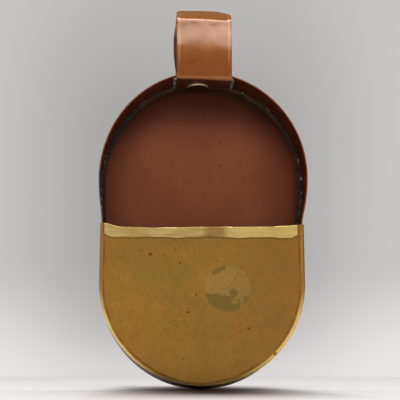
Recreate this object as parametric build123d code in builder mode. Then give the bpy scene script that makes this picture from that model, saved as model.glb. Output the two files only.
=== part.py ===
"""Copper and brass wall pocket: an open oval copper tray with a brass apron across its lower half
and a broad riveted strap for hanging it up. Millimetres. Z is up, the front faces -Y, the flat back is at Y = 0.
Every "depth" below is measured forward from the flat back."""

from build123d import *
import os

# sheet metal
copper_t = 0.8
brass_t = 0.75
strap_t = 0.9

# copper tray, outside sizes
body_depth = 26.0
foot_half_rear = 71.6
foot_half_front = 70.0
foot_drop_rear = 72.8
foot_drop_front = 69.2
foot_z = -40.5
straight_top_z = -1.5
waist_half_rear = 72.9
waist_half_front = 71.8
waist_z = 12.0
crown_z = 35.5
crown_left_z = 32.5
crown_half_rear = 74.4
crown_half_front = 73.8
crown_rise_rear = 76.2
crown_rise_front = 76.0
lean = 0.85
waist_lean = 0.4

# lap joint in the side band, at the bottom
seam_x = 14.0
seam_gap = 0.4
lap_length = 10.0
lap_jog = 2.5
lap_film = 0.15
lap_margin = 2.6

# brass apron
apron_half = 71.2
apron_drop = 70.5
apron_mid_z = -1.6
apron_end_z = 0.0
apron_front = 27.8
flange_depth = 5.4
bend_r = 2.8
hem_height = 8.2
hem_t = 0.95
hem_fold_r = 0.75
hem_left = -68.0
hem_right = 66.0
hem_mitre_x = 4.2
hem_mitre_z = 2.0
hem_lift = 0.2
hem_lift_height = 3.0

# hanging strap
strap_w = 40.0
strap_x = 1.2
strap_bend_r = 1.6
strap_front = 27.4
leg_z = 106.0
leg_start = 2.6
loop_r = 11.5
loop_z = 150.0
strap_foot_z = 112.3
strap_foot_end = 20.5

# rivet
rivet_x = -2.6
rivet_depth = 9.8
shank_r = 2.0
head_r = 7.7
head_t = 1.3
head_round = 0.7
tail_r = 3.6
tail_h = 1.5
tail_round = 1.1

# solder beads
plate_bead_w = 3.2
plate_bead_h = 1.6
plate_bead_edge = 0.3
side_bead_w = 2.5
side_bead_in = 1.5
side_bead_low = 0.2
wall_drop = 0.7
flange_bead_h = 1.1
flange_fill = 2.2
flange_bead_top = 2.0
plate_clearance = 0.15

flange_rear = apron_front - flange_depth
half_strap = strap_w / 2
leg_top_z = leg_z + strap_t / 2
leg_under_z = leg_z - strap_t / 2
foot_top_z = strap_foot_z + strap_t / 2
wall_half = crown_half_front - copper_t
wall_rise = crown_rise_front - copper_t
wall_z = crown_z + wall_rise * (1 - ((half_strap + strap_x) / wall_half) ** 2) ** 0.5
hem_low_z = apron_mid_z - hem_height


def at_depth(rear, front, depth):
    """A size at a depth; the wall leans inward a little from the flat back to its front edge."""
    return rear + (front - rear) * depth / body_depth


def body_outline(depth, inset):
    """Face of the tray outline at a depth, drawn inside its outer surface by the inset."""
    low_half = at_depth(foot_half_rear, foot_half_front, depth) - inset
    low_drop = at_depth(foot_drop_rear, foot_drop_front, depth) - inset
    waist = at_depth(waist_half_rear, waist_half_front, depth) - inset
    top_half = at_depth(crown_half_rear, crown_half_front, depth) - inset
    top_rise = at_depth(crown_rise_rear, crown_rise_front, depth) - inset
    left_rise = top_rise + crown_z - crown_left_z
    upward = ((0, 1), (0, 1))
    downward = ((0, -1), (0, -1))
    with BuildSketch() as face:
        with BuildLine():
            Line((low_half, foot_z), (low_half, straight_top_z))
            Spline(
                (low_half, straight_top_z),
                (waist + waist_lean, waist_z),
                (lean + top_half, crown_z),
                tangents=upward,
            )
            EllipticalCenterArc((lean, crown_z), top_half, top_rise, start_angle=0, arc_size=90)
            EllipticalCenterArc((lean, crown_left_z), top_half, left_rise, start_angle=90, arc_size=90)
            Spline(
                (lean - top_half, crown_left_z),
                (waist_lean - waist, waist_z),
                (-low_half, straight_top_z),
                tangents=downward,
            )
            Line((-low_half, straight_top_z), (-low_half, foot_z))
            EllipticalCenterArc((0, foot_z), low_half, low_drop, start_angle=180, arc_size=180)
        make_face()
    return face.sketch


def wall_block(inset, rear, front):
    """Solid filled out to the wall, less an inset, from one depth to another."""
    with BuildPart() as block:
        with BuildSketch(Plane.XZ.offset(rear)):
            add(body_outline(rear, inset))
        with BuildSketch(Plane.XZ.offset(front)):
            add(body_outline(front, inset))
        loft(ruled=True)
    return block.part


def wall_ring(outer_inset, inner_inset, rear, front):
    """Closed ring that follows the wall between two insets, from one depth to another."""
    outer = wall_block(outer_inset, rear, front)
    inner = wall_block(inner_inset, rear, front)
    with BuildPart() as ring:
        add(outer)
        add(inner, mode=Mode.SUBTRACT)
    return ring.part


def apron_outline(half, drop):
    """U-shaped face with a shallow dip in its top edge."""
    with BuildSketch() as face:
        with BuildLine():
            Line((half, foot_z), (half, apron_end_z))
            ThreePointArc((half, apron_end_z), (0, apron_mid_z), (-half, apron_end_z))
            Line((-half, apron_end_z), (-half, foot_z))
            EllipticalCenterArc((0, foot_z), half, drop, start_angle=180, arc_size=180)
        make_face()
    return face.sketch


def u_outline(half, drop, top_z):
    """U-shaped face with a level top edge."""
    with BuildSketch() as face:
        with BuildLine():
            Line((half, foot_z), (half, top_z))
            Line((half, top_z), (-half, top_z))
            Line((-half, top_z), (-half, foot_z))
            EllipticalCenterArc((0, foot_z), half, drop, start_angle=180, arc_size=180)
        make_face()
    return face.sketch


# flat copper back, let in flush with the rear edge of the side band
with BuildPart() as back_plate:
    with BuildSketch(Plane.XZ):
        add(body_outline(0, copper_t + plate_clearance))
    extrude(amount=copper_t)

# copper side band: one strip bent round the outline, its ends lapped at the bottom
band_wall = wall_ring(0, copper_t, 0, body_depth)
lap_rear = lap_margin
lap_front = body_depth - lap_margin
lap_wall = wall_ring(copper_t + lap_film, 2 * copper_t + lap_film, lap_rear, lap_front)
jog_wall = wall_ring(copper_t / 2, 2 * copper_t, lap_rear, lap_front)
film_wall = wall_ring(copper_t, copper_t + lap_film, lap_rear, lap_front)

# the right-hand end runs on under the left-hand end
with BuildPart() as lap_tab:
    add(lap_wall)
    with BuildSketch(Plane.XZ):
        with Locations((seam_x + lap_jog, foot_z - foot_drop_rear)):
            Rectangle(lap_length + lap_jog, foot_drop_rear, align=(Align.MAX, Align.CENTER))
    extrude(amount=body_depth, mode=Mode.INTERSECT)

# step that carries it inward
with BuildPart() as lap_step:
    add(jog_wall)
    with BuildSketch(Plane.XZ):
        with Locations((seam_x + lap_jog, foot_z - foot_drop_rear)):
            Rectangle(lap_jog - seam_gap / 2, foot_drop_rear, align=(Align.MAX, Align.CENTER))
    extrude(amount=body_depth, mode=Mode.INTERSECT)

with BuildPart() as side_band:
    add(band_wall)
    with BuildSketch(Plane.XZ):
        with Locations((seam_x, foot_z - foot_drop_rear)):
            Rectangle(seam_gap, foot_drop_rear)
    extrude(amount=body_depth, mode=Mode.SUBTRACT)
    add(lap_tab.part)
    add(lap_step.part)
    # rivet hole through the crown
    with BuildSketch(Plane.XY.offset(leg_z)):
        with Locations((rivet_x, -rivet_depth)):
            Circle(shank_r)
    extrude(amount=strap_foot_z - leg_z, mode=Mode.SUBTRACT)

# solder drawn through the lap joint
with BuildPart() as lap_solder:
    add(film_wall)
    with BuildSketch(Plane.XZ):
        with Locations((seam_x - seam_gap / 2, foot_z - foot_drop_rear)):
            Rectangle(lap_length - lap_jog - seam_gap, foot_drop_rear, align=(Align.MAX, Align.CENTER))
    extrude(amount=body_depth, mode=Mode.INTERSECT)

# solder bead in the inside corner between the back plate and the side band
with BuildPart() as plate_solder:
    with BuildSketch(Plane.XZ.offset(copper_t)):
        add(body_outline(copper_t, copper_t))
    with BuildSketch(Plane.XZ.offset(copper_t + plate_bead_h)):
        add(body_outline(copper_t + plate_bead_h, copper_t))
    loft(ruled=True)
    with BuildSketch(Plane.XZ.offset(copper_t)):
        add(body_outline(copper_t, copper_t + plate_bead_w))
    with BuildSketch(Plane.XZ.offset(copper_t + plate_bead_h)):
        add(body_outline(copper_t + plate_bead_h, copper_t + plate_bead_edge))
    loft(ruled=True, mode=Mode.SUBTRACT)

# the apron's top edge folded forward and down, its lower corners cut off, its raw edge a little off the face
with BuildPart() as hem_fold:
    with BuildSketch(Plane.XZ.offset(apron_front - brass_t / 2)):
        add(apron_outline(apron_half, apron_drop))
        with BuildSketch(mode=Mode.INTERSECT):
            with BuildLine():
                Polyline(
                    (hem_right, waist_z),
                    (hem_right, hem_low_z + hem_mitre_z),
                    (hem_right - hem_mitre_x, hem_low_z),
                    (hem_left + hem_mitre_x, hem_low_z),
                    (hem_left, hem_low_z + hem_mitre_z),
                    (hem_left, waist_z),
                    close=True,
                )
            make_face()
    extrude(amount=hem_t + brass_t / 2)
    hem_face = hem_fold.faces().sort_by(Axis.Y)[0]
    fillet(hem_face.edges().sort_by(Axis.Z)[-1], radius=hem_fold_r)
    with BuildSketch(Plane.XZ.offset(apron_front)):
        with Locations((0, hem_low_z)):
            Rectangle(2 * apron_half, 2 * hem_lift_height)
    extrude(amount=hem_lift, mode=Mode.SUBTRACT)

# space inside the apron, open at the rear and at the top
with BuildPart() as apron_space:
    with BuildSketch(Plane.XZ.offset(flange_rear - brass_t)):
        add(u_outline(apron_half - brass_t, apron_drop - brass_t, waist_z))
    extrude(amount=flange_depth)
    space_face = apron_space.faces().sort_by(Axis.Y)[0]
    fillet(space_face.edges().sort_by(Axis.Z)[:3], radius=bend_r - brass_t)

# brass apron: flat face, rounded bend into a flange outside the band, and the hem
with BuildPart() as front_apron:
    with BuildSketch(Plane.XZ.offset(flange_rear)):
        add(apron_outline(apron_half, apron_drop))
    extrude(amount=flange_depth)
    front_face = front_apron.faces().sort_by(Axis.Y)[0]
    fillet(front_face.edges().sort_by(Axis.Z)[:3], radius=bend_r)
    add(apron_space.part, mode=Mode.SUBTRACT)
    add(hem_fold.part)

# solder between the flange and the band, with a small bead along the rear edge of the flange
tray_block = wall_block(0, 0, body_depth)
with BuildPart() as apron_solder:
    with BuildSketch(Plane.XZ.offset(flange_rear)):
        add(apron_outline(apron_half - brass_t, apron_drop - brass_t))
    extrude(amount=flange_fill)
    with BuildSketch(Plane.XZ.offset(flange_rear - flange_bead_h)):
        add(apron_outline(apron_half - brass_t / 2, apron_drop - brass_t / 2))
    with BuildSketch(Plane.XZ.offset(flange_rear)):
        add(apron_outline(apron_half - brass_t / 4, apron_drop - brass_t / 4))
    loft(ruled=True)
    with BuildSketch(Plane.XZ.offset(flange_rear - flange_bead_h)):
        with Locations((0, apron_end_z)):
            Rectangle(3 * apron_half, 2 * flange_bead_top)
    extrude(amount=flange_depth, mode=Mode.SUBTRACT)
    add(tray_block, mode=Mode.SUBTRACT)

# copper strap: leg inside the crown, up in front of the rim, rolled over, and down to a foot on top of the crown
with BuildPart() as hanging_strap:
    with BuildSketch(Plane.YZ.offset(strap_x - half_strap)):
        with BuildLine():
            leg_end = -strap_front + strap_bend_r
            rear_leg = -strap_front + 2 * loop_r
            Line((-leg_start, leg_z), (leg_end, leg_z))
            CenterArc((leg_end, leg_z + strap_bend_r), strap_bend_r, 180, 90)
            Line((-strap_front, leg_z + strap_bend_r), (-strap_front, loop_z))
            CenterArc((-strap_front + loop_r, loop_z), loop_r, 0, 180)
            Line((rear_leg, loop_z), (rear_leg, strap_foot_z + strap_bend_r))
            CenterArc((rear_leg - strap_bend_r, strap_foot_z + strap_bend_r), strap_bend_r, 270, 90)
            Line((rear_leg - strap_bend_r, strap_foot_z), (-strap_foot_end, strap_foot_z))
        trace(line_width=strap_t)
    extrude(amount=strap_w)
    # rivet holes through the leg and the foot
    with BuildSketch(Plane.XY.offset(leg_under_z - strap_t)):
        with Locations((rivet_x, -rivet_depth)):
            Circle(shank_r)
    extrude(amount=foot_top_z - leg_under_z + 2 * strap_t, mode=Mode.SUBTRACT)

# rivet: broad flat head inside the crown, small domed tail on the foot of the strap
with BuildPart() as strap_rivet:
    with BuildSketch(Plane.XY.offset(leg_under_z - head_t)):
        with Locations((rivet_x, -rivet_depth)):
            Circle(head_r)
    extrude(amount=head_t)
    fillet(strap_rivet.edges().sort_by(Axis.Z)[0], radius=head_round)
    with BuildSketch(Plane.XY.offset(leg_under_z)):
        with Locations((rivet_x, -rivet_depth)):
            Circle(shank_r)
    extrude(amount=foot_top_z - leg_under_z)
    with BuildSketch(Plane.XY.offset(foot_top_z)):
        with Locations((rivet_x, -rivet_depth)):
            Circle(tail_r)
    extrude(amount=tail_h)
    fillet(strap_rivet.edges().sort_by(Axis.Z)[-1], radius=tail_round)


def side_bead(side):
    """Solder between one side edge of the strap's inner leg and the wall above and beside it."""
    edge_x = strap_x + side * half_strap
    in_x = edge_x - side * side_bead_in
    out_x = edge_x + side * side_bead_w
    with BuildSketch() as face:
        with BuildLine():
            Polyline(
                (in_x, leg_top_z),
                (edge_x, leg_top_z),
                (edge_x, leg_under_z - side_bead_low),
                (out_x, wall_z - wall_drop),
                (edge_x, wall_z),
                (in_x, wall_z),
                close=True,
            )
        make_face()
    return face.sketch


with BuildPart() as strap_solder_left:
    with BuildSketch(Plane.XZ.offset(leg_start)):
        add(side_bead(-1))
    extrude(amount=body_depth - leg_start - copper_t)

with BuildPart() as strap_solder_right:
    with BuildSketch(Plane.XZ.offset(leg_start)):
        add(side_bead(1))
    extrude(amount=body_depth - leg_start - copper_t)

os.makedirs("parts", exist_ok=True)

back_plate.part.label = "back_plate"
export_step(back_plate.part, "parts/back_plate.step")
side_band.part.label = "side_band"
export_step(side_band.part, "parts/side_band.step")
lap_solder.part.label = "lap_solder"
export_step(lap_solder.part, "parts/lap_solder.step")
plate_solder.part.label = "plate_solder"
export_step(plate_solder.part, "parts/plate_solder.step")
front_apron.part.label = "front_apron"
export_step(front_apron.part, "parts/front_apron.step")
apron_solder.part.label = "apron_solder"
export_step(apron_solder.part, "parts/apron_solder.step")
hanging_strap.part.label = "hanging_strap"
export_step(hanging_strap.part, "parts/hanging_strap.step")
strap_rivet.part.label = "strap_rivet"
export_step(strap_rivet.part, "parts/strap_rivet.step")
strap_solder_left.part.label = "strap_solder_left"
export_step(strap_solder_left.part, "parts/strap_solder_left.step")
strap_solder_right.part.label = "strap_solder_right"
export_step(strap_solder_right.part, "parts/strap_solder_right.step")
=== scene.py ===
import bpy, math
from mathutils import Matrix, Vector


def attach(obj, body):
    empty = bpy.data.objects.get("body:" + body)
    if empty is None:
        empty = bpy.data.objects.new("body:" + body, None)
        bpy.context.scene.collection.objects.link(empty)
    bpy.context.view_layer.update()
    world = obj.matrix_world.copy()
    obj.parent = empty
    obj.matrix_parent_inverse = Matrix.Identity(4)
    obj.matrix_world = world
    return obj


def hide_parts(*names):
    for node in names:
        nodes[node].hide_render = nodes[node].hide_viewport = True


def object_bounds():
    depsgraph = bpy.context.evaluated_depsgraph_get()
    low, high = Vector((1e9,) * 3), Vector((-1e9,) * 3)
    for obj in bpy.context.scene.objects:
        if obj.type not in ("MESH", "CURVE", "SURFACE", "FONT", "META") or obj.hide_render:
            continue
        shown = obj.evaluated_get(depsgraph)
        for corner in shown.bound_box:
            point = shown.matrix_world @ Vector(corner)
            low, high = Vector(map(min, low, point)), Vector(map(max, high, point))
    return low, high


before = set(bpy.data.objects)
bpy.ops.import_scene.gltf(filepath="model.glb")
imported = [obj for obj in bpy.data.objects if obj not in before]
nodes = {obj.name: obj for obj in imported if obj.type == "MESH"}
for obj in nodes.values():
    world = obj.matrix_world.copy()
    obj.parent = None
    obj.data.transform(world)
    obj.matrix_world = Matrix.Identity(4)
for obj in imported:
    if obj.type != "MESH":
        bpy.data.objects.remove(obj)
cad_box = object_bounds()
scene = bpy.context.scene
bpy.ops.object.select_all(action="DESELECT")

MM = 0.001
FLOOR_Z = cad_box[0][2]

# sizes shared with the sheet-metal part, in millimetres
STRAP_X, STRAP_WIDTH, STRAP_SHEET = 1.2, 40.0, 0.9
LEG_Z, LEG_START, STRAP_FRONT = 106.0, 2.6, 27.4
BEND_R, LOOP_R, LOOP_Z = 1.6, 11.5, 150.0
FOOT_Z, FOOT_END = 112.3, 20.5
RIVET_X, RIVET_Y = -2.6, -9.8
APRON_FACE_Y = -27.8
ROUND_TOP_Z, ROUND_BOTTOM_Z = 33.0, -40.5

# stage sizes, in metres and degrees
CAMERA_X, CAMERA_Y, CAMERA_OVER_FLOOR = -0.033, -0.627, 0.0099
CAMERA_TILT, CAMERA_TURN = 11.3, -2.966
FLOOR_RADIUS = 4.0


def shade(r, g, b):
    """Linear colour from an 8-bit display colour."""
    out = []
    for c in (r, g, b):
        c = c / 255
        out.append(c / 12.92 if c <= 0.04045 else ((c + 0.055) / 1.055) ** 2.4)
    return (*out, 1.0)


# ---------------------------------------------------------------- camera
camera_data = bpy.data.cameras.new("camera")
camera_data.lens = 78.75
camera_data.sensor_width = 36
camera_data.clip_start = 0.01
camera = bpy.data.objects.new("camera", camera_data)
scene.collection.objects.link(camera)
camera.location = (CAMERA_X, CAMERA_Y, FLOOR_Z + CAMERA_OVER_FLOOR)
camera.rotation_euler = (math.radians(90 + CAMERA_TILT), 0, math.radians(CAMERA_TURN))
scene.camera = camera
scene.view_settings.view_transform = "Standard"


# ---------------------------------------------------------------- material helpers
class Recipe:
    """A material being built: short calls for the nodes that the finishes below need."""

    def __init__(self, name, metallic=0.0, roughness=0.5):
        self.material = bpy.data.materials.new(name)
        self.material.use_nodes = True
        self.tree = self.material.node_tree
        self.shader = self.tree.nodes["Principled BSDF"]
        self.shader.inputs["Metallic"].default_value = metallic
        self.shader.inputs["Roughness"].default_value = roughness
        self.place = self.node("ShaderNodeTexCoord").outputs["Object"]
        split = self.node("ShaderNodeSeparateXYZ")
        self.link(self.place, split.inputs[0])
        self.x, self.y, self.z = split.outputs

    def node(self, kind, **settings):
        made = self.tree.nodes.new(kind)
        for key, value in settings.items():
            setattr(made, key, value)
        return made

    def link(self, source, socket):
        self.tree.links.new(source, socket)

    def feed(self, value, socket):
        if isinstance(value, bpy.types.NodeSocket):
            self.link(value, socket)
        else:
            socket.default_value = value

    def stretched(self, scale):
        mapping = self.node("ShaderNodeMapping")
        mapping.inputs["Scale"].default_value = scale
        self.link(self.place, mapping.inputs["Vector"])
        return mapping.outputs[0]

    def noise(self, scale, detail, rough, place=None, twist=0.0):
        n = self.node("ShaderNodeTexNoise")
        n.inputs["Scale"].default_value = scale
        n.inputs["Detail"].default_value = detail
        n.inputs["Roughness"].default_value = rough
        n.inputs["Distortion"].default_value = twist
        self.link(place or self.place, n.inputs["Vector"])
        return n.outputs["Fac"]

    def cells(self, scale):
        n = self.node("ShaderNodeTexVoronoi")
        n.inputs["Scale"].default_value = scale
        self.link(self.place, n.inputs["Vector"])
        return n.outputs["Distance"]

    def band(self, value, low, high, to_low=0.0, to_high=1.0):
        """Smooth step from to_low at low to to_high at high."""
        n = self.node("ShaderNodeMapRange", interpolation_type="SMOOTHSTEP")
        n.inputs["From Min"].default_value = low
        n.inputs["From Max"].default_value = high
        n.inputs["To Min"].default_value = to_low
        n.inputs["To Max"].default_value = to_high
        self.link(value, n.inputs["Value"])
        return n.outputs["Result"]

    def math(self, how, a, b=None):
        n = self.node("ShaderNodeMath", operation=how)
        self.feed(a, n.inputs[0])
        if b is not None:
            self.feed(b, n.inputs[1])
        return n.outputs[0]

    def times(self, *masks):
        out = masks[0]
        for m in masks[1:]:
            out = self.math("MULTIPLY", out, m)
        return out

    def most(self, *masks):
        out = masks[0]
        for m in masks[1:]:
            out = self.math("MAXIMUM", out, m)
        return out

    def stripe(self, value, start, full, fall, end):
        """Mask: 1 where the value lies between full and fall, fading to 0 at start and end."""
        return self.times(self.band(value, start, full), self.band(value, fall, end, 1.0, 0.0))

    def waver(self, noise, amount):
        """A noise as a shift of up to half the amount, in millimetres, to either side."""
        return self.times(self.math("SUBTRACT", noise, 0.5), amount * MM)

    def stain(self, colour, mask, amount, tone):
        """Lay a tone over the colour where the mask is, at most as strongly as the amount."""
        return self.mix(self.times(mask, amount), colour, tone)

    def mix(self, mask, a, b):
        n = self.node("ShaderNodeMix", data_type="RGBA")
        self.feed(mask, n.inputs[0])
        self.feed(a, n.inputs[6])
        self.feed(b, n.inputs[7])
        return n.outputs[2]

    def patch(self, centre, radius, soft, squeeze=(1, 1, 1)):
        """Mask: 1 inside a round patch at a place in millimetres, fading to 0 at its edge."""
        shift = self.node("ShaderNodeVectorMath", operation="SUBTRACT")
        self.link(self.place, shift.inputs[0])
        shift.inputs[1].default_value = [c * MM for c in centre]
        size = self.node("ShaderNodeVectorMath", operation="MULTIPLY")
        self.link(shift.outputs[0], size.inputs[0])
        size.inputs[1].default_value = squeeze
        far = self.node("ShaderNodeVectorMath", operation="LENGTH")
        self.link(size.outputs[0], far.inputs[0])
        inner, outer = radius * MM * (1 - soft), radius * MM * (1 + soft)
        return self.band(far.outputs["Value"], inner, outer, 1.0, 0.0)

    def stroke(self, start, end, width, waver=0.0):
        """Mask: a thin line between two places in millimetres, its width fading at both sides."""
        place = self.place
        if waver:
            n = self.node("ShaderNodeTexNoise")
            n.inputs["Scale"].default_value = 170
            self.link(place, n.inputs["Vector"])
            drift = self.node("ShaderNodeVectorMath", operation="MULTIPLY_ADD")
            self.link(n.outputs["Color"], drift.inputs[0])
            drift.inputs[1].default_value = [waver * MM] * 3
            self.link(place, drift.inputs[2])
            place = drift.outputs[0]
            start = [c + waver / 2 for c in start]
            end = [c + waver / 2 for c in end]
        a = Vector(start) * MM
        run = Vector(end) * MM - a
        offset = self.node("ShaderNodeVectorMath", operation="SUBTRACT")
        self.link(place, offset.inputs[0])
        offset.inputs[1].default_value = a
        along = self.node("ShaderNodeVectorMath", operation="DOT_PRODUCT")
        self.link(offset.outputs[0], along.inputs[0])
        along.inputs[1].default_value = run / run.length_squared
        share = self.node("ShaderNodeClamp")
        self.link(along.outputs["Value"], share.inputs["Value"])
        foot = self.node("ShaderNodeVectorMath", operation="SCALE")
        foot.inputs[0].default_value = run
        self.link(share.outputs[0], foot.inputs["Scale"])
        gap = self.node("ShaderNodeVectorMath", operation="DISTANCE")
        self.link(offset.outputs[0], gap.inputs[0])
        self.link(foot.outputs[0], gap.inputs[1])
        return self.band(gap.outputs["Value"], width * MM * 0.5, width * MM * 1.2, 1.0, 0.0)

    def relief(self, height, strength, depth, under=None):
        n = self.node("ShaderNodeBump")
        n.inputs["Strength"].default_value = strength
        n.inputs["Distance"].default_value = depth * MM
        self.link(height, n.inputs["Height"])
        if under is not None:
            self.link(under, n.inputs["Normal"])
        return n.outputs[0]

    def finish(self, colour, roughness=None, normal=None):
        self.link(colour, self.shader.inputs["Base Color"])
        if roughness is not None:
            self.link(roughness, self.shader.inputs["Roughness"])
        if normal is not None:
            self.link(normal, self.shader.inputs["Normal"])
        return self.material


# ---------------------------------------------------------------- finishes
def copper_plate_finish():
    """Old brown copper sheet, satin, clouded, with painted shade towards the wall, at the top and on the
    right, and a few dark flecks.
    """
    r = Recipe("copper_plate", metallic=0.75)
    clouds = r.noise(26, 4, 0.5, r.stretched((1.0, 1.0, 0.75)))
    brushed = r.noise(60, 6, 0.6, r.stretched((0.25, 1.0, 2.2)))
    grain = r.noise(900, 3, 0.6)
    colour = r.mix(r.band(clouds, 0.35, 0.68), shade(112, 60, 32), shade(124, 69, 38))
    colour = r.stain(colour, r.band(brushed, 0.45, 0.75), 0.35, shade(110, 62, 42))
    colour = r.stain(colour, r.band(grain, 0.5, 0.8), 0.35, shade(96, 50, 30))
    # painted shade: the plate is darker towards the wall, where the tray closes it in
    high = r.math("MAXIMUM", r.math("SUBTRACT", r.z, ROUND_TOP_Z * MM), 0.0)
    reach = r.math("SQRT", r.math("ADD", r.times(r.x, r.x), r.times(high, high)))
    reach = r.math("ADD", reach, r.waver(r.noise(30, 3, 0.6), 12))
    colour = r.mix(r.band(reach, 0.036, 0.076, 0.0, 0.75), colour, shade(88, 38, 17))
    # painted shadow: the plate is darker at the top, under the crown of the wall
    colour = r.mix(r.band(r.z, 0.050, 0.098, 0.0, 0.75), colour, shade(72, 27, 10))
    # painted shade: the plate is darker towards its right side
    colour = r.mix(r.band(r.x, 0.030, 0.066, 0.0, 0.35), colour, shade(84, 36, 16))
    colour = r.stain(colour, r.band(reach, 0.0680, 0.0725), 0.6, shade(44, 26, 18))
    flecks = r.most(*[r.patch((x, 0, z), size, 0.4, (1, 0, 1)) for x, z, size in (
        (7.4, 73.0, 0.75), (14.6, 66.0, 0.8), (13.9, 48.0, 0.9), (-37.0, 31.5, 0.7), (31.0, 23.0, 0.6),
        (-16.0, 55.0, 0.55), (-41.0, 62.0, 0.5), (26.0, 84.0, 0.6))])
    colour = r.stain(colour, flecks, 0.75, shade(52, 28, 18))
    rough = r.band(r.noise(120, 5, 0.6), 0.3, 0.7, 0.40, 0.52)
    dents = r.relief(r.noise(35, 3, 0.5), 0.25, 0.6)
    return r.finish(colour, rough, r.relief(grain, 0.12, 0.1, dents))


def copper_wall_finish():
    """Darker copper strip of the side band, dull inside, with a bright worn front edge."""
    r = Recipe("copper_wall", metallic=0.75)
    clouds = r.noise(40, 5, 0.6)
    colour = r.mix(r.band(clouds, 0.35, 0.7), shade(97, 43, 22), shade(118, 56, 30))
    colour = r.stain(colour, r.band(r.noise(300, 5, 0.7), 0.5, 0.75), 0.4, shade(62, 32, 22))
    worn = r.times(r.band(r.y, -0.0258, -0.0254, 1.0, 0.0), r.band(r.noise(160, 3, 0.6), 0.3, 0.6, 0.35, 1.0))
    colour = r.mix(worn, colour, shade(124, 74, 50))
    rough = r.band(r.noise(150, 5, 0.6), 0.3, 0.7, 0.42, 0.58)
    return r.finish(colour, rough, r.relief(r.noise(70, 4, 0.55), 0.3, 0.5))


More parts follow.
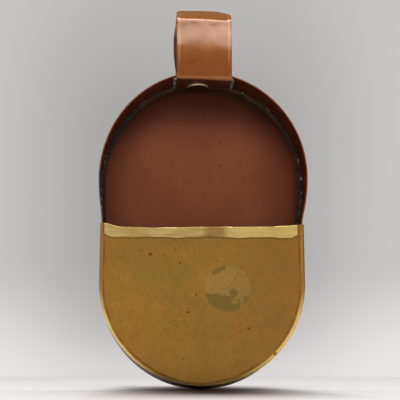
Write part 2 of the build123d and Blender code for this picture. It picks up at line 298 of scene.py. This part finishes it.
def brass_finish():
    """Ochre tarnished brass, orange and olive clouds, flecks, a round gummed mark and a polished hem."""
    r = Recipe("brass_sheet", metallic=0.7)
    broad = r.noise(28, 5, 0.6, twist=0.3)
    grain = r.noise(700, 4, 0.65)
    colour = r.mix(r.band(broad, 0.38, 0.66), shade(167, 124, 47), shade(152, 118, 48))
    colour = r.stain(colour, r.band(r.noise(75, 5, 0.65), 0.48, 0.70), 0.55, shade(178, 118, 38))
    colour = r.stain(colour, r.band(r.noise(48, 5, 0.65), 0.52, 0.72), 0.55, shade(134, 114, 46))
    colour = r.stain(colour, r.band(r.noise(150, 4, 0.6), 0.50, 0.70), 0.35, shade(186, 136, 50))
    colour = r.stain(colour, r.band(grain, 0.45, 0.75), 0.70, shade(130, 90, 28))
    colour = r.mix(r.band(r.x, 0.0, 0.066, 0.0, 0.38), colour, shade(128, 86, 32))
    olive = r.times(r.patch((-22, APRON_FACE_Y, -32), 30, 0.7, (0.8, 1, 1)),
                    r.band(r.noise(60, 4, 0.6), 0.42, 0.62))
    colour = r.stain(colour, olive, 0.40, shade(140, 118, 44))
    # painted shade: the brass is darker towards its top, under the hem
    colour = r.mix(r.band(r.z, -0.045, -0.008, 0.0, 0.26), colour, shade(118, 86, 30))
    # painted light: the brass is lighter towards its bottom, where its lower bend faces the floor
    colour = r.mix(r.band(r.z, -0.105, -0.070, 0.30, 0.0), colour, shade(190, 148, 64))

    # reach: how far a point lies from the middle line of the U, which is bent over at about 68 mm
    low = r.math("MINIMUM", r.math("SUBTRACT", r.z, ROUND_BOTTOM_Z * MM), 0.0)
    reach = r.math("SQRT", r.math("ADD", r.times(r.x, r.x), r.times(low, low)))
    reach = r.math("ADD", reach, r.band(r.x, -0.02, 0.05, 0.0, 0.0009))
    reach = r.math("ADD", reach, r.waver(r.noise(55, 3, 0.6), 1.4))
    crease = r.stripe(reach, 0.0672, 0.0680, 0.0682, 0.0689)
    broken = r.band(r.noise(34, 4, 0.6), 0.40, 0.60, 0.15, 1.0)
    colour = r.stain(colour, r.band(reach, 0.058, 0.068), 0.22, shade(176, 112, 42))
    colour = r.stain(colour, r.times(crease, broken), 0.85, shade(120, 70, 24))
    # painted highlight: a pale line along the rounded rim, strongest at the bottom
    painted_rim_highlight = r.times(r.band(reach, 0.0690, 0.0698), r.band(r.z, -0.070, -0.040, 0.90, 0.10))
    colour = r.mix(painted_rim_highlight, colour, shade(244, 208, 128))
    # painted shade: a dark line round the outer edge of the rim, weaker at the bottom
    painted_rim_shade = r.times(r.band(reach, 0.0706, 0.0714), r.band(r.z, -0.070, -0.040, 0.20, 0.55))
    colour = r.mix(painted_rim_shade, colour, shade(84, 60, 34))

    # round mark left by a gummed label
    disc = r.patch((17.2, APRON_FACE_Y, -45.2), 15.9, 0.03)
    torn = r.noise(95, 5, 0.6, twist=0.6)
    ragged = r.math("ADD", r.z, r.waver(r.noise(110, 4, 0.65), 9))
    tilt = r.math("ADD", ragged, r.times(r.math("SUBTRACT", r.x, 0.017), 0.10))
    gaps = r.band(r.x, 0.016, 0.024, 0.36, 0.47)
    holes = r.band(r.math("SUBTRACT", torn, gaps), 0.0, 0.03)
    lower = r.times(r.band(tilt, -0.0502, -0.0494, 1.0, 0.0), holes)
    upper = r.stroke((7.6, APRON_FACE_Y, -34.2), (14.2, APRON_FACE_Y, -30.4), 2.1)
    blob = r.patch((21.3, APRON_FACE_Y, -48.2), 2.9, 0.15)
    colour = r.stain(colour, disc, 0.38, shade(164, 138, 74))
    colour = r.stain(colour, r.times(disc, r.most(lower, upper, blob)), 0.80, shade(122, 98, 38))
    crack = r.most(r.stroke((17.8, APRON_FACE_Y, -45.0), (24.3, APRON_FACE_Y, -34.5), 0.30, 1.6),
                   r.stroke((24.3, APRON_FACE_Y, -34.5), (29.8, APRON_FACE_Y, -37.6), 0.26, 1.2))
    colour = r.stain(colour, crack, 0.6, shade(112, 84, 30))

    # flecks of rust and soot, each with its place and radius
    dark = r.most(*[r.patch((x, APRON_FACE_Y, z), size, 0.4) for x, z, size in (
        (-36.2, -22.0, 1.2), (-42.4, -19.2, 0.55), (-18.5, -19.6, 0.5), (-15.7, -28.0, 0.75),
        (-22.5, -31.5, 0.45), (9.4, -26.6, 0.5), (-4.8, -49.9, 0.75), (-10.2, -61.5, 0.85),
        (-22.4, -68.4, 0.5), (31.2, -72.4, 0.9), (49.4, -89.6, 1.5), (-13.4, -92.4, 0.6),
        (40.0, -34.5, 0.45))])
    rust = r.most(*[r.patch((x, APRON_FACE_Y, z), size, 0.6) for x, z, size in (
        (-7.5, -56.0, 1.3), (-9.6, -60.6, 1.6), (-35.0, -22.6, 2.0), (31.6, -71.6, 1.9), (-46.0, -80.0, 3.5),
        (-20.0, -18.9, 1.4))])
    colour = r.stain(colour, rust, 0.35, shade(176, 92, 44))
    colour = r.stain(colour, dark, 0.75, shade(84, 48, 24))
    pin = r.times(r.band(r.cells(210), 0.05, 0.11, 1.0, 0.0), r.band(r.noise(40, 2, 0.5), 0.55, 0.65))
    colour = r.stain(colour, pin, 0.5, shade(112, 70, 32))

    # the hem is worn bright, in streaks along its length, with a painted highlight on its right part
    hem = r.band(r.y, -0.02860, -0.02830, 1.0, 0.0)
    streaks = r.noise(240, 5, 0.65, r.stretched((0.12, 1.0, 1.6)))
    bright = r.mix(r.band(streaks, 0.35, 0.68), shade(192, 158, 88), shade(222, 194, 124))
    middle = r.band(r.math("ABSOLUTE", r.math("SUBTRACT", r.x, 0.0085)), 0.004, 0.011, 1.0, 0.0)
    bright = r.stain(bright, middle, 0.75, shade(150, 112, 50))
    # painted highlight: the right part of the hem is brighter
    bright = r.mix(r.band(r.x, 0.014, 0.03, 0.0, 0.45), bright, shade(240, 212, 120))
    colour = r.mix(hem, colour, bright)
    rough = r.band(r.noise(130, 5, 0.6), 0.3, 0.7, 0.37, 0.48)
    rough = r.math("SUBTRACT", rough, r.times(hem, 0.12))
    bumps = r.relief(r.noise(30, 3, 0.5), 0.22, 0.7)
    bumps = r.relief(grain, 0.10, 0.08, bumps)
    bumps = r.relief(disc, 0.15, 0.05, bumps)
    return r.finish(colour, rough, r.relief(r.times(streaks, hem), 0.25, 0.12, bumps))


def copper_strap_finish():
    """Orange-brown copper of the strap under clear lacquer, with painted highlights and painted shade; the
    leg inside the tray is painted dark as shade.
    """
    r = Recipe("copper_strap", metallic=0.22)
    r.shader.inputs["Coat Roughness"].default_value = 0.16
    r.shader.inputs["Coat IOR"].default_value = 1.64
    r.shader.inputs["Specular IOR Level"].default_value = 0.2
    clouds = r.noise(70, 4, 0.55, twist=0.4)
    colour = r.mix(r.band(clouds, 0.35, 0.68), shade(141, 78, 10), shade(151, 87, 18))
    colour = r.stain(colour, r.band(r.noise(190, 5, 0.6), 0.5, 0.8), 0.18, shade(118, 58, 12))
    # painted shade: the lower part of the strap is darker
    colour = r.mix(r.band(r.z, 0.114, 0.136, 0.8, 0.0), colour, shade(124, 62, 6))
    # painted highlight: a pale band along the lower bend
    colour = r.stain(colour, r.stripe(r.z, 0.1040, 0.1046, 0.1072, 0.1080), 0.45, shade(176, 112, 70))
    inside = r.times(r.band(r.z, 0.1070, 0.1085, 1.0, 0.0), r.band(r.y, -0.0268, -0.0255))
    # painted light: the top of the roll is lighter
    colour = r.mix(r.band(r.z, 0.150, 0.153, 0.0, 0.8), colour, shade(178, 108, 50))
    aside = r.math("ABSOLUTE", r.math("SUBTRACT", r.x, STRAP_X * MM))
    # painted highlight: pale lines along both edges of the strap above the bend
    edge = r.times(r.stripe(aside, 0.0168, 0.0178, 0.0182, 0.0192), r.band(r.z, 0.112, 0.125))
    colour = r.stain(colour, edge, 0.34, shade(206, 150, 100))
    # painted shade inside the roll of the strap
    over = r.math("MAXIMUM", r.math("SUBTRACT", r.z, LOOP_Z * MM), 0.0)
    back = r.math("ADD", r.y, (STRAP_FRONT - LOOP_R) * MM)
    round_axis = r.math("SQRT", r.math("ADD", r.times(over, over), r.times(back, back)))
    roll_inside_shade = r.times(r.band(round_axis, (LOOP_R - 0.2) * MM, (LOOP_R + 0.1) * MM, 1.0, 0.0),
                     r.band(r.z, 0.110, 0.112), r.band(r.y, -0.018, -0.014))
    # the painted shade inside the roll leaves its cut edges bright
    roll_inside_shade = r.times(roll_inside_shade, r.most(r.band(r.z, 0.147, 0.150, 1.0, 0.0),
                                    r.band(aside, 0.0184, 0.0190, 1.0, 0.0)))
    colour = r.stain(colour, roll_inside_shade, 0.85, shade(74, 34, 16))
    # painted shade: the leg inside the tray is dark
    colour = r.mix(inside, colour, shade(70, 31, 17))
    green = r.times(inside, r.band(r.noise(120, 5, 0.7, r.stretched((0.5, 1.0, 1.0))), 0.56, 0.66))
    colour = r.stain(colour, green, 0.7, shade(84, 92, 74))
    rough = r.band(r.noise(110, 4, 0.6), 0.3, 0.7, 0.26, 0.38)
    rough = r.math("ADD", rough, r.times(inside, 0.3))
    dents = r.relief(r.noise(55, 3, 0.45), 0.30, 0.7)
    r.link(r.band(r.z, 0.118, 0.140, 0.12, 1.0), r.shader.inputs["Coat Weight"])
    return r.finish(colour, rough, r.relief(r.noise(600, 3, 0.6), 0.06, 0.08, dents))


def rivet_finish():
    """Rivet: painted shade in the middle and at the back of the head, painted highlight on the front of its
    rounded rim.
    """
    r = Recipe("copper_rivet", metallic=0.8, roughness=0.35)
    middle = r.patch((RIVET_X, RIVET_Y, 0), 6.95, 0.04, (1, 1, 0))
    colour = r.mix(r.band(r.noise(300, 4, 0.6), 0.35, 0.7), shade(200, 176, 128), shade(226, 210, 168))
    rear = r.band(r.y, (RIVET_Y - 2.2) * MM, (RIVET_Y - 0.6) * MM)
    # painted shade over the middle and back of the head; the pale colour left on the front of the rim is a
    # painted highlight
    colour = r.mix(r.most(middle, rear), colour, shade(60, 30, 18))
    return r.finish(colour, None, r.relief(r.noise(500, 3, 0.6), 0.2, 0.15))


def solder_finish(name, pale, seam_y=None):
    """Weathered solder: black-brown crust, pale green-grey specks, and a pale line along the wall."""
    r = Recipe(name, metallic=0.2)
    r.shader.inputs["Specular IOR Level"].default_value = 0.2
    crust = r.noise(260, 6, 0.7, twist=0.5)
    specks = r.noise(620, 5, 0.75, twist=0.8)
    colour = r.mix(r.band(crust, 0.38, 0.62), shade(26, 19, 14), shade(50, 42, 30))
    colour = r.stain(colour, r.band(r.noise(150, 4, 0.6), 0.50, 0.66), 0.6, shade(74, 42, 26))
    amount = r.band(specks, 0.64 - pale, 0.72 - pale)
    if seam_y is not None:
        seam = r.band(r.math("ADD", r.y, r.waver(crust, 1.2)), seam_y - 0.0003, seam_y, 1.0, 0.0)
        seam = r.times(seam, r.band(r.noise(95, 4, 0.6), 0.46, 0.58, 0.0, 1.0))
        amount = r.most(r.times(amount, 0.7), seam)
    colour = r.mix(amount, colour, shade(158, 166, 136))
    rough = r.band(specks, 0.3, 0.7, 0.45, 0.75)
    return r.finish(colour, rough, r.relief(specks, 0.5, 0.35))


copper_plate = copper_plate_finish()
copper_wall = copper_wall_finish()
brass_sheet = brass_finish()
copper_strap = copper_strap_finish()
copper_rivet = rivet_finish()
solder = solder_finish("solder_crust", -0.02, seam_y=-0.0023)
verdigris = solder_finish("solder_verdigris", 0.17)


def dress(piece, material):
    piece.data.materials.clear()
    piece.data.materials.append(material)


# ---------------------------------------------------------------- modelling helpers
def only(piece):
    bpy.ops.object.select_all(action="DESELECT")
    piece.select_set(True)
    bpy.context.view_layer.objects.active = piece


def pick(piece, test):
    """In edit mode: select just the vertices whose place, in millimetres, passes the test."""
    bpy.ops.mesh.select_all(action="DESELECT")
    bpy.ops.object.mode_set(mode="OBJECT")
    for v in piece.data.vertices:
        v.select = test(v.co / MM)
    bpy.ops.object.mode_set(mode="EDIT")


def use(piece, kind, **settings):
    only(piece)
    modifier = piece.modifiers.new(kind.lower(), kind)
    for key, value in settings.items():
        setattr(modifier, key, value)
    bpy.ops.object.modifier_apply(modifier=modifier.name)


def lumps(name, size):
    texture = bpy.data.textures.new(name, "CLOUDS")
    texture.noise_scale = size * MM
    texture.noise_depth = 2
    return texture


def settle(piece, *replaced, material, slot, crisp=40):
    """Give a finished piece its finish and its place on the body, and hide the nodes it stands for."""
    only(piece)
    bpy.ops.object.transform_apply(location=True, rotation=True, scale=True)
    bpy.ops.object.shade_smooth_by_angle(angle=math.radians(crisp))
    dress(piece, material)
    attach(piece, "root")
    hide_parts(*replaced)


# ---------------------------------------------------------------- solder beads, lumpy
def lumpy_bead(node, voxel, wobble, size, material):
    """Copy of a bead made lumpy: voxel, wobble and size of the lumps are in millimetres."""
    only(nodes[node])
    bpy.ops.object.duplicate()
    bead = bpy.context.object
    bead.name = node + "_bead"
    bpy.ops.object.mode_set(mode="EDIT")
    bpy.ops.mesh.select_all(action="SELECT")
    bpy.ops.mesh.remove_doubles(threshold=0.00001)
    bpy.ops.object.mode_set(mode="OBJECT")
    use(bead, "REMESH", mode="VOXEL", voxel_size=voxel * MM)
    use(bead, "DISPLACE", texture=lumps(bead.name, size), strength=wobble * MM, mid_level=0.5)
    use(bead, "SMOOTH", factor=0.5, iterations=2)
    settle(bead, node, material=material, slot="solder")


lumpy_bead("plate_solder", 0.45, 1.3, 2.6, solder)
lumpy_bead("strap_solder_left", 0.28, 0.9, 1.6, verdigris)
lumpy_bead("strap_solder_right", 0.28, 0.9, 1.9, verdigris)
lumpy_bead("apron_solder", 0.30, 0.5, 2.2, solder)


# ---------------------------------------------------------------- front apron
def make_apron():
    """Brass apron cut into columns, so that its hem can wander up and down as hand-folded metal does."""
    only(nodes["front_apron"])
    bpy.ops.object.duplicate()
    sheet = bpy.context.object
    sheet.name = "apron_sheet"
    bpy.ops.object.mode_set(mode="EDIT")
    bpy.ops.mesh.select_all(action="SELECT")
    bpy.ops.mesh.remove_doubles(threshold=0.00001)
    bpy.ops.mesh.dissolve_limited(angle_limit=math.radians(0.4))
    columns = range(-68, 69, 4)
    for x in columns:
        bpy.ops.mesh.select_all(action="SELECT")
        bpy.ops.mesh.bisect(plane_co=(x * MM, 0, 0), plane_no=(1, 0, 0))
    for x in columns:
        left = min(max(-x / 36, 0), 1)
        ends = min(max((67 - abs(x)) / 8, 0), 1)
        drop = (0.75 + 1.3 * left + 0.12 * math.sin(x * 0.31)) * ends
        lift = (0.30 * math.sin(x * 0.16 + 1.0) + 0.18 * math.sin(x * 0.43) - 0.35 * left) * ends
        top = -1.6 * (1 - abs(x) / 70)
        pick(sheet, lambda p: abs(p.x - x) < 2.0 and p.z > top - 4)
        bpy.ops.transform.translate(value=(0, 0, -drop * MM))
        pick(sheet, lambda p: abs(p.x - x) < 2.0 and p.y < APRON_FACE_Y - 0.1 and p.z < top - 5)
        bpy.ops.transform.translate(value=(0, 0, lift * MM))
    bpy.ops.object.mode_set(mode="OBJECT")
    settle(sheet, "front_apron", material=brass_sheet, slot="brass_sheet", crisp=22)


make_apron()


# ---------------------------------------------------------------- hanging strap
def make_strap():
    """Strip of sheet: inner leg, bend, front leg, rolled top, rear leg, bend and foot."""
    leg_y = -STRAP_FRONT + BEND_R
    rear_y = -STRAP_FRONT + 2 * LOOP_R
    length = -leg_y - LEG_START
    middle = (-LEG_START + leg_y) / 2
    bpy.ops.mesh.primitive_grid_add(x_subdivisions=24, y_subdivisions=10, size=1,
                                    location=(STRAP_X * MM, middle * MM, LEG_Z * MM))
    strip = bpy.context.object
    strip.name = "strap_sheet"
    strip.scale = (STRAP_WIDTH * MM, length * MM, 1)
    bpy.ops.object.transform_apply(location=True, rotation=True, scale=True)
    bpy.ops.object.mode_set(mode="EDIT")
    bpy.ops.mesh.select_mode(type="VERT")
    pick(strip, lambda p: abs(p.y - leg_y) < 0.05)

    def run(dy, dz, steps):
        for _ in range(steps):
            bpy.ops.mesh.extrude_region_move(
                TRANSFORM_OT_translate={"value": (0, dy / steps * MM, dz / steps * MM)})

    def turn(cy, cz, degrees, steps):
        bpy.ops.mesh.spin(steps=steps, angle=math.radians(-degrees),
                          center=(0, cy * MM, cz * MM), axis=(1, 0, 0))

    turn(leg_y, LEG_Z + BEND_R, -90, 6)
    run(0, LOOP_Z - LEG_Z - BEND_R, 20)
    turn(-STRAP_FRONT + LOOP_R, LOOP_Z, -180, 26)
    run(0, FOOT_Z + BEND_R - LOOP_Z, 18)
    turn(rear_y - BEND_R, FOOT_Z + BEND_R, -90, 6)
    run(-(FOOT_END + rear_y - BEND_R), 0, 8)
    bpy.ops.mesh.select_all(action="SELECT")
    bpy.ops.mesh.remove_doubles(threshold=0.00002)
    bpy.ops.mesh.normals_make_consistent(inside=False)
    bpy.ops.object.mode_set(mode="OBJECT")
    return strip


def push(strip, test, shift, reach):
    """Move the picked points of the strip; nearby points follow within the reach, in millimetres."""
    pick(strip, test)
    bpy.ops.transform.translate(value=[c * MM for c in shift], use_proportional_edit=True,
                                proportional_edit_falloff="SMOOTH", proportional_size=reach * MM,
                                use_proportional_connected=True)


def hand_form(strip):
    """The strap was rolled by hand: edges dressed back, top leaning back, rear leg to the left."""
    def front(p, depth):
        return p.y < -STRAP_FRONT + depth

    def level(p, z, within):
        return abs(p.z - z) < within

    def right(p, inset):
        return p.x > STRAP_X + inset

    only(strip)
    bpy.ops.object.mode_set(mode="EDIT")
    bpy.ops.mesh.select_mode(type="VERT")
    for inset, depth in ((18.0, 0.25), (19.5, 0.65)):
        pick(strip, lambda p: abs(p.x - STRAP_X) > inset and p.z > LEG_Z + 2 and front(p, 0.2))
        bpy.ops.transform.translate(value=(0, depth * MM, 0))
        pick(strip, lambda p: abs(p.x - STRAP_X) > inset and p.z > LOOP_Z + LOOP_R * 0.6)
        bpy.ops.transform.translate(value=(0, 0, -depth * MM))
    # front of the roll leans back, and its shoulder is flattened, more so on the right
    push(strip, lambda p: front(p, 0.9) and level(p, LOOP_Z, 1.0), (0, 1.1, 0), 22)
    push(strip, lambda p: front(p, 6) and level(p, LOOP_Z + 8, 1.2), (0, 0.9, -0.8), 8)
    push(strip, lambda p: front(p, 2.5) and level(p, LOOP_Z, 1.0) and right(p, 17), (0, 0.5, 0), 24)
    push(strip, lambda p: front(p, 5) and level(p, LOOP_Z + 5, 1.2) and right(p, 14), (0, 0.35, -0.3), 13)
    # rear leg stands to the left, the top right corner droops, the bend sags on the right
    push(strip, lambda p: p.y > -6 and level(p, 138, 4), (-1.9, 0, 0), 22)
    push(strip, lambda p: p.z > LOOP_Z + LOOP_R - 0.6 and right(p, 17), (-0.5, 0, -1.4), 9)
    push(strip, lambda p: level(p, LEG_Z, 2.5) and p.y < -24 and right(p, 18), (0, 0, -0.8), 22)
    bpy.ops.object.mode_set(mode="OBJECT")


strap = make_strap()
hand_form(strap)
use(strap, "DISPLACE", texture=lumps("strap_dents", 16), strength=0.7 * MM, mid_level=0.5)
use(strap, "SUBSURF", levels=1, render_levels=1)
use(strap, "SOLIDIFY", thickness=STRAP_SHEET * MM, offset=0)
use(strap, "BEVEL", width=0.25 * MM, segments=3, limit_method="ANGLE", angle_limit=math.radians(50))
settle(strap, "hanging_strap", material=copper_strap, slot="copper_strap")

# ---------------------------------------------------------------- finishes on the sheet-metal nodes
for name, material in {
    "back_plate": copper_plate, "side_band": copper_wall,
    "strap_rivet": copper_rivet, "lap_solder": solder,
}.items():
    dress(nodes[name], material)

# ---------------------------------------------------------------- stage
def floor_paper():
    """Pale paper, with painted shade round the foot of the object where it is closed in."""
    paper = Recipe("floor_paper", roughness=0.38)
    tint = paper.mix(paper.noise(3, 3, 0.5), shade(232, 228, 226), shade(236, 232, 230))
    # painted shade: the paper darkens where the object closes it in, only within the object's width
    contact = paper.node("ShaderNodeAmbientOcclusion", samples=16)
    contact.inputs["Distance"].default_value = 0.30
    closed = paper.math("POWER", contact.outputs["AO"], 2.5)
    closed = paper.math("MAXIMUM", closed, paper.band(paper.math("ABSOLUTE", paper.x), 0.010, 0.078))
    paper.finish(paper.mix(closed, shade(30, 18, 14), tint))
    return paper


def shadow_pool(paper):
    """Painted dark pool on the floor under the object.

    Open fault: its strength follows the view angle, so it shows at a low angle only. Deleting this function
    and its call clears that; floor_paper still darkens the foot.
    """
    deep = paper.math("ABSOLUTE", paper.math("ADD", paper.y, 0.03))
    pool = paper.times(paper.band(paper.math("ABSOLUTE", paper.x), 0.0, 0.078, 0.95, 0.0),
                       paper.band(deep, 0.08, 0.24, 1.0, 0.0))
    grazing = paper.node("ShaderNodeLayerWeight")
    pool = paper.times(pool, paper.band(grazing.outputs["Facing"], 0.80, 0.96))
    shadow = paper.node("ShaderNodeBsdfDiffuse")
    shadow.inputs["Color"].default_value = shade(44, 28, 24)
    blend = paper.node("ShaderNodeMixShader")
    paper.link(pool, blend.inputs[0])
    paper.link(paper.shader.outputs[0], blend.inputs[1])
    paper.link(shadow.outputs[0], blend.inputs[2])
    paper.link(blend.outputs[0], paper.tree.nodes["Material Output"].inputs["Surface"])


bpy.ops.mesh.primitive_circle_add(vertices=128, radius=FLOOR_RADIUS, fill_type="NGON",
                                  location=(0, 0, FLOOR_Z))
floor = bpy.context.object
floor.name = "floor"
paper = floor_paper()
shadow_pool(paper)
dress(floor, paper.material)

world = bpy.data.worlds.new("world")
scene.world = world
world.use_nodes = True
tree = world.node_tree
direction = tree.nodes.new("ShaderNodeTexCoord")
parts = tree.nodes.new("ShaderNodeSeparateXYZ")
tree.links.new(direction.outputs["Generated"], parts.inputs[0])
sideways, away, up = parts.outputs


def world_feed(socket, value):
    if isinstance(value, bpy.types.NodeSocket):
        tree.links.new(value, socket)
    else:
        socket.default_value = value


def world_math(how, a, b):
    n = tree.nodes.new("ShaderNodeMath")
    n.operation = how
    world_feed(n.inputs[0], a)
    world_feed(n.inputs[1], b)
    return n.outputs[0]


def world_band(value, low, high, to_low, to_high):
    n = tree.nodes.new("ShaderNodeMapRange")
    n.interpolation_type = "SMOOTHSTEP"
    for key, number in (("From Min", low), ("From Max", high), ("To Min", to_low), ("To Max", to_high)):
        n.inputs[key].default_value = number
    tree.links.new(value, n.inputs["Value"])
    return n.outputs["Result"]


def tone_step(low, high, below, above):
    """Blend from one background tone to another between two heights of the direction."""
    tone = tree.nodes.new("ShaderNodeMix")
    tone.data_type = "RGBA"
    world_feed(tone.inputs[0], world_band(up, low, high, 0.0, 1.0))
    world_feed(tone.inputs[6], below)
    world_feed(tone.inputs[7], above)
    return tone.outputs[2]


backdrop = tone_step(0.0, 0.135, shade(235, 231, 230), shade(200, 198, 197))
sky = tone_step(0.42, 0.62, backdrop, shade(96, 94, 93))

# painted shadow of the object: the backdrop is a little darker in its middle, behind the object
across = world_math("ABSOLUTE", world_math("SUBTRACT", sideways, 0.035), 0.0)
falloff = world_math("MULTIPLY", world_band(across, 0.06, 0.25, 0.33, 0.0),
                     world_band(away, 0.0, 0.3, 0.0, 1.0))
falloff = world_math("MULTIPLY", falloff, world_band(up, 0.26, 0.46, 1.0, 0.3))
falloff = world_math("MULTIPLY", falloff, world_band(up, -0.01, 0.06, 0.45, 1.0))
# in front it is dimmer higher up, where a studio has no white sheet
front_dim = world_math("MULTIPLY", world_band(away, -0.2, 0.0, 1.0, 0.0),
                       world_band(up, 0.19, 0.36, 0.0, 0.65))
falloff = world_math("ADD", falloff, front_dim)
background = tree.nodes["Background"]
tree.links.new(sky, background.inputs["Color"])
tree.links.new(world_math("SUBTRACT", 1.0, falloff), background.inputs["Strength"])


def softbox(name, place, target, size, power):
    data = bpy.data.lights.new(name, "AREA")
    data.shape = "RECTANGLE"
    data.size, data.size_y = size
    data.energy = power
    lamp = bpy.data.objects.new(name, data)
    scene.collection.objects.link(lamp)
    lamp.location = place
    lamp.rotation_euler = (Vector(target) - Vector(place)).to_track_quat("-Z", "Y").to_euler()


softbox("front_high", (-0.05, -1.2, 0.98), (0, 0, 0.12), (1.2, 0.45), 5.2)
softbox("front_strip", (-0.05, -1.0, 1.10), (0, 0, 0.12), (1.2, 0.13), 6.0)

sun_data = bpy.data.lights.new("overhead", "SUN")
sun_data.energy = 2.7
sun_data.angle = math.radians(70)
sun = bpy.data.objects.new("overhead", sun_data)
scene.collection.objects.link(sun)
sun.rotation_euler = (math.radians(-28), math.radians(4), 0)
sun.visible_glossy = False
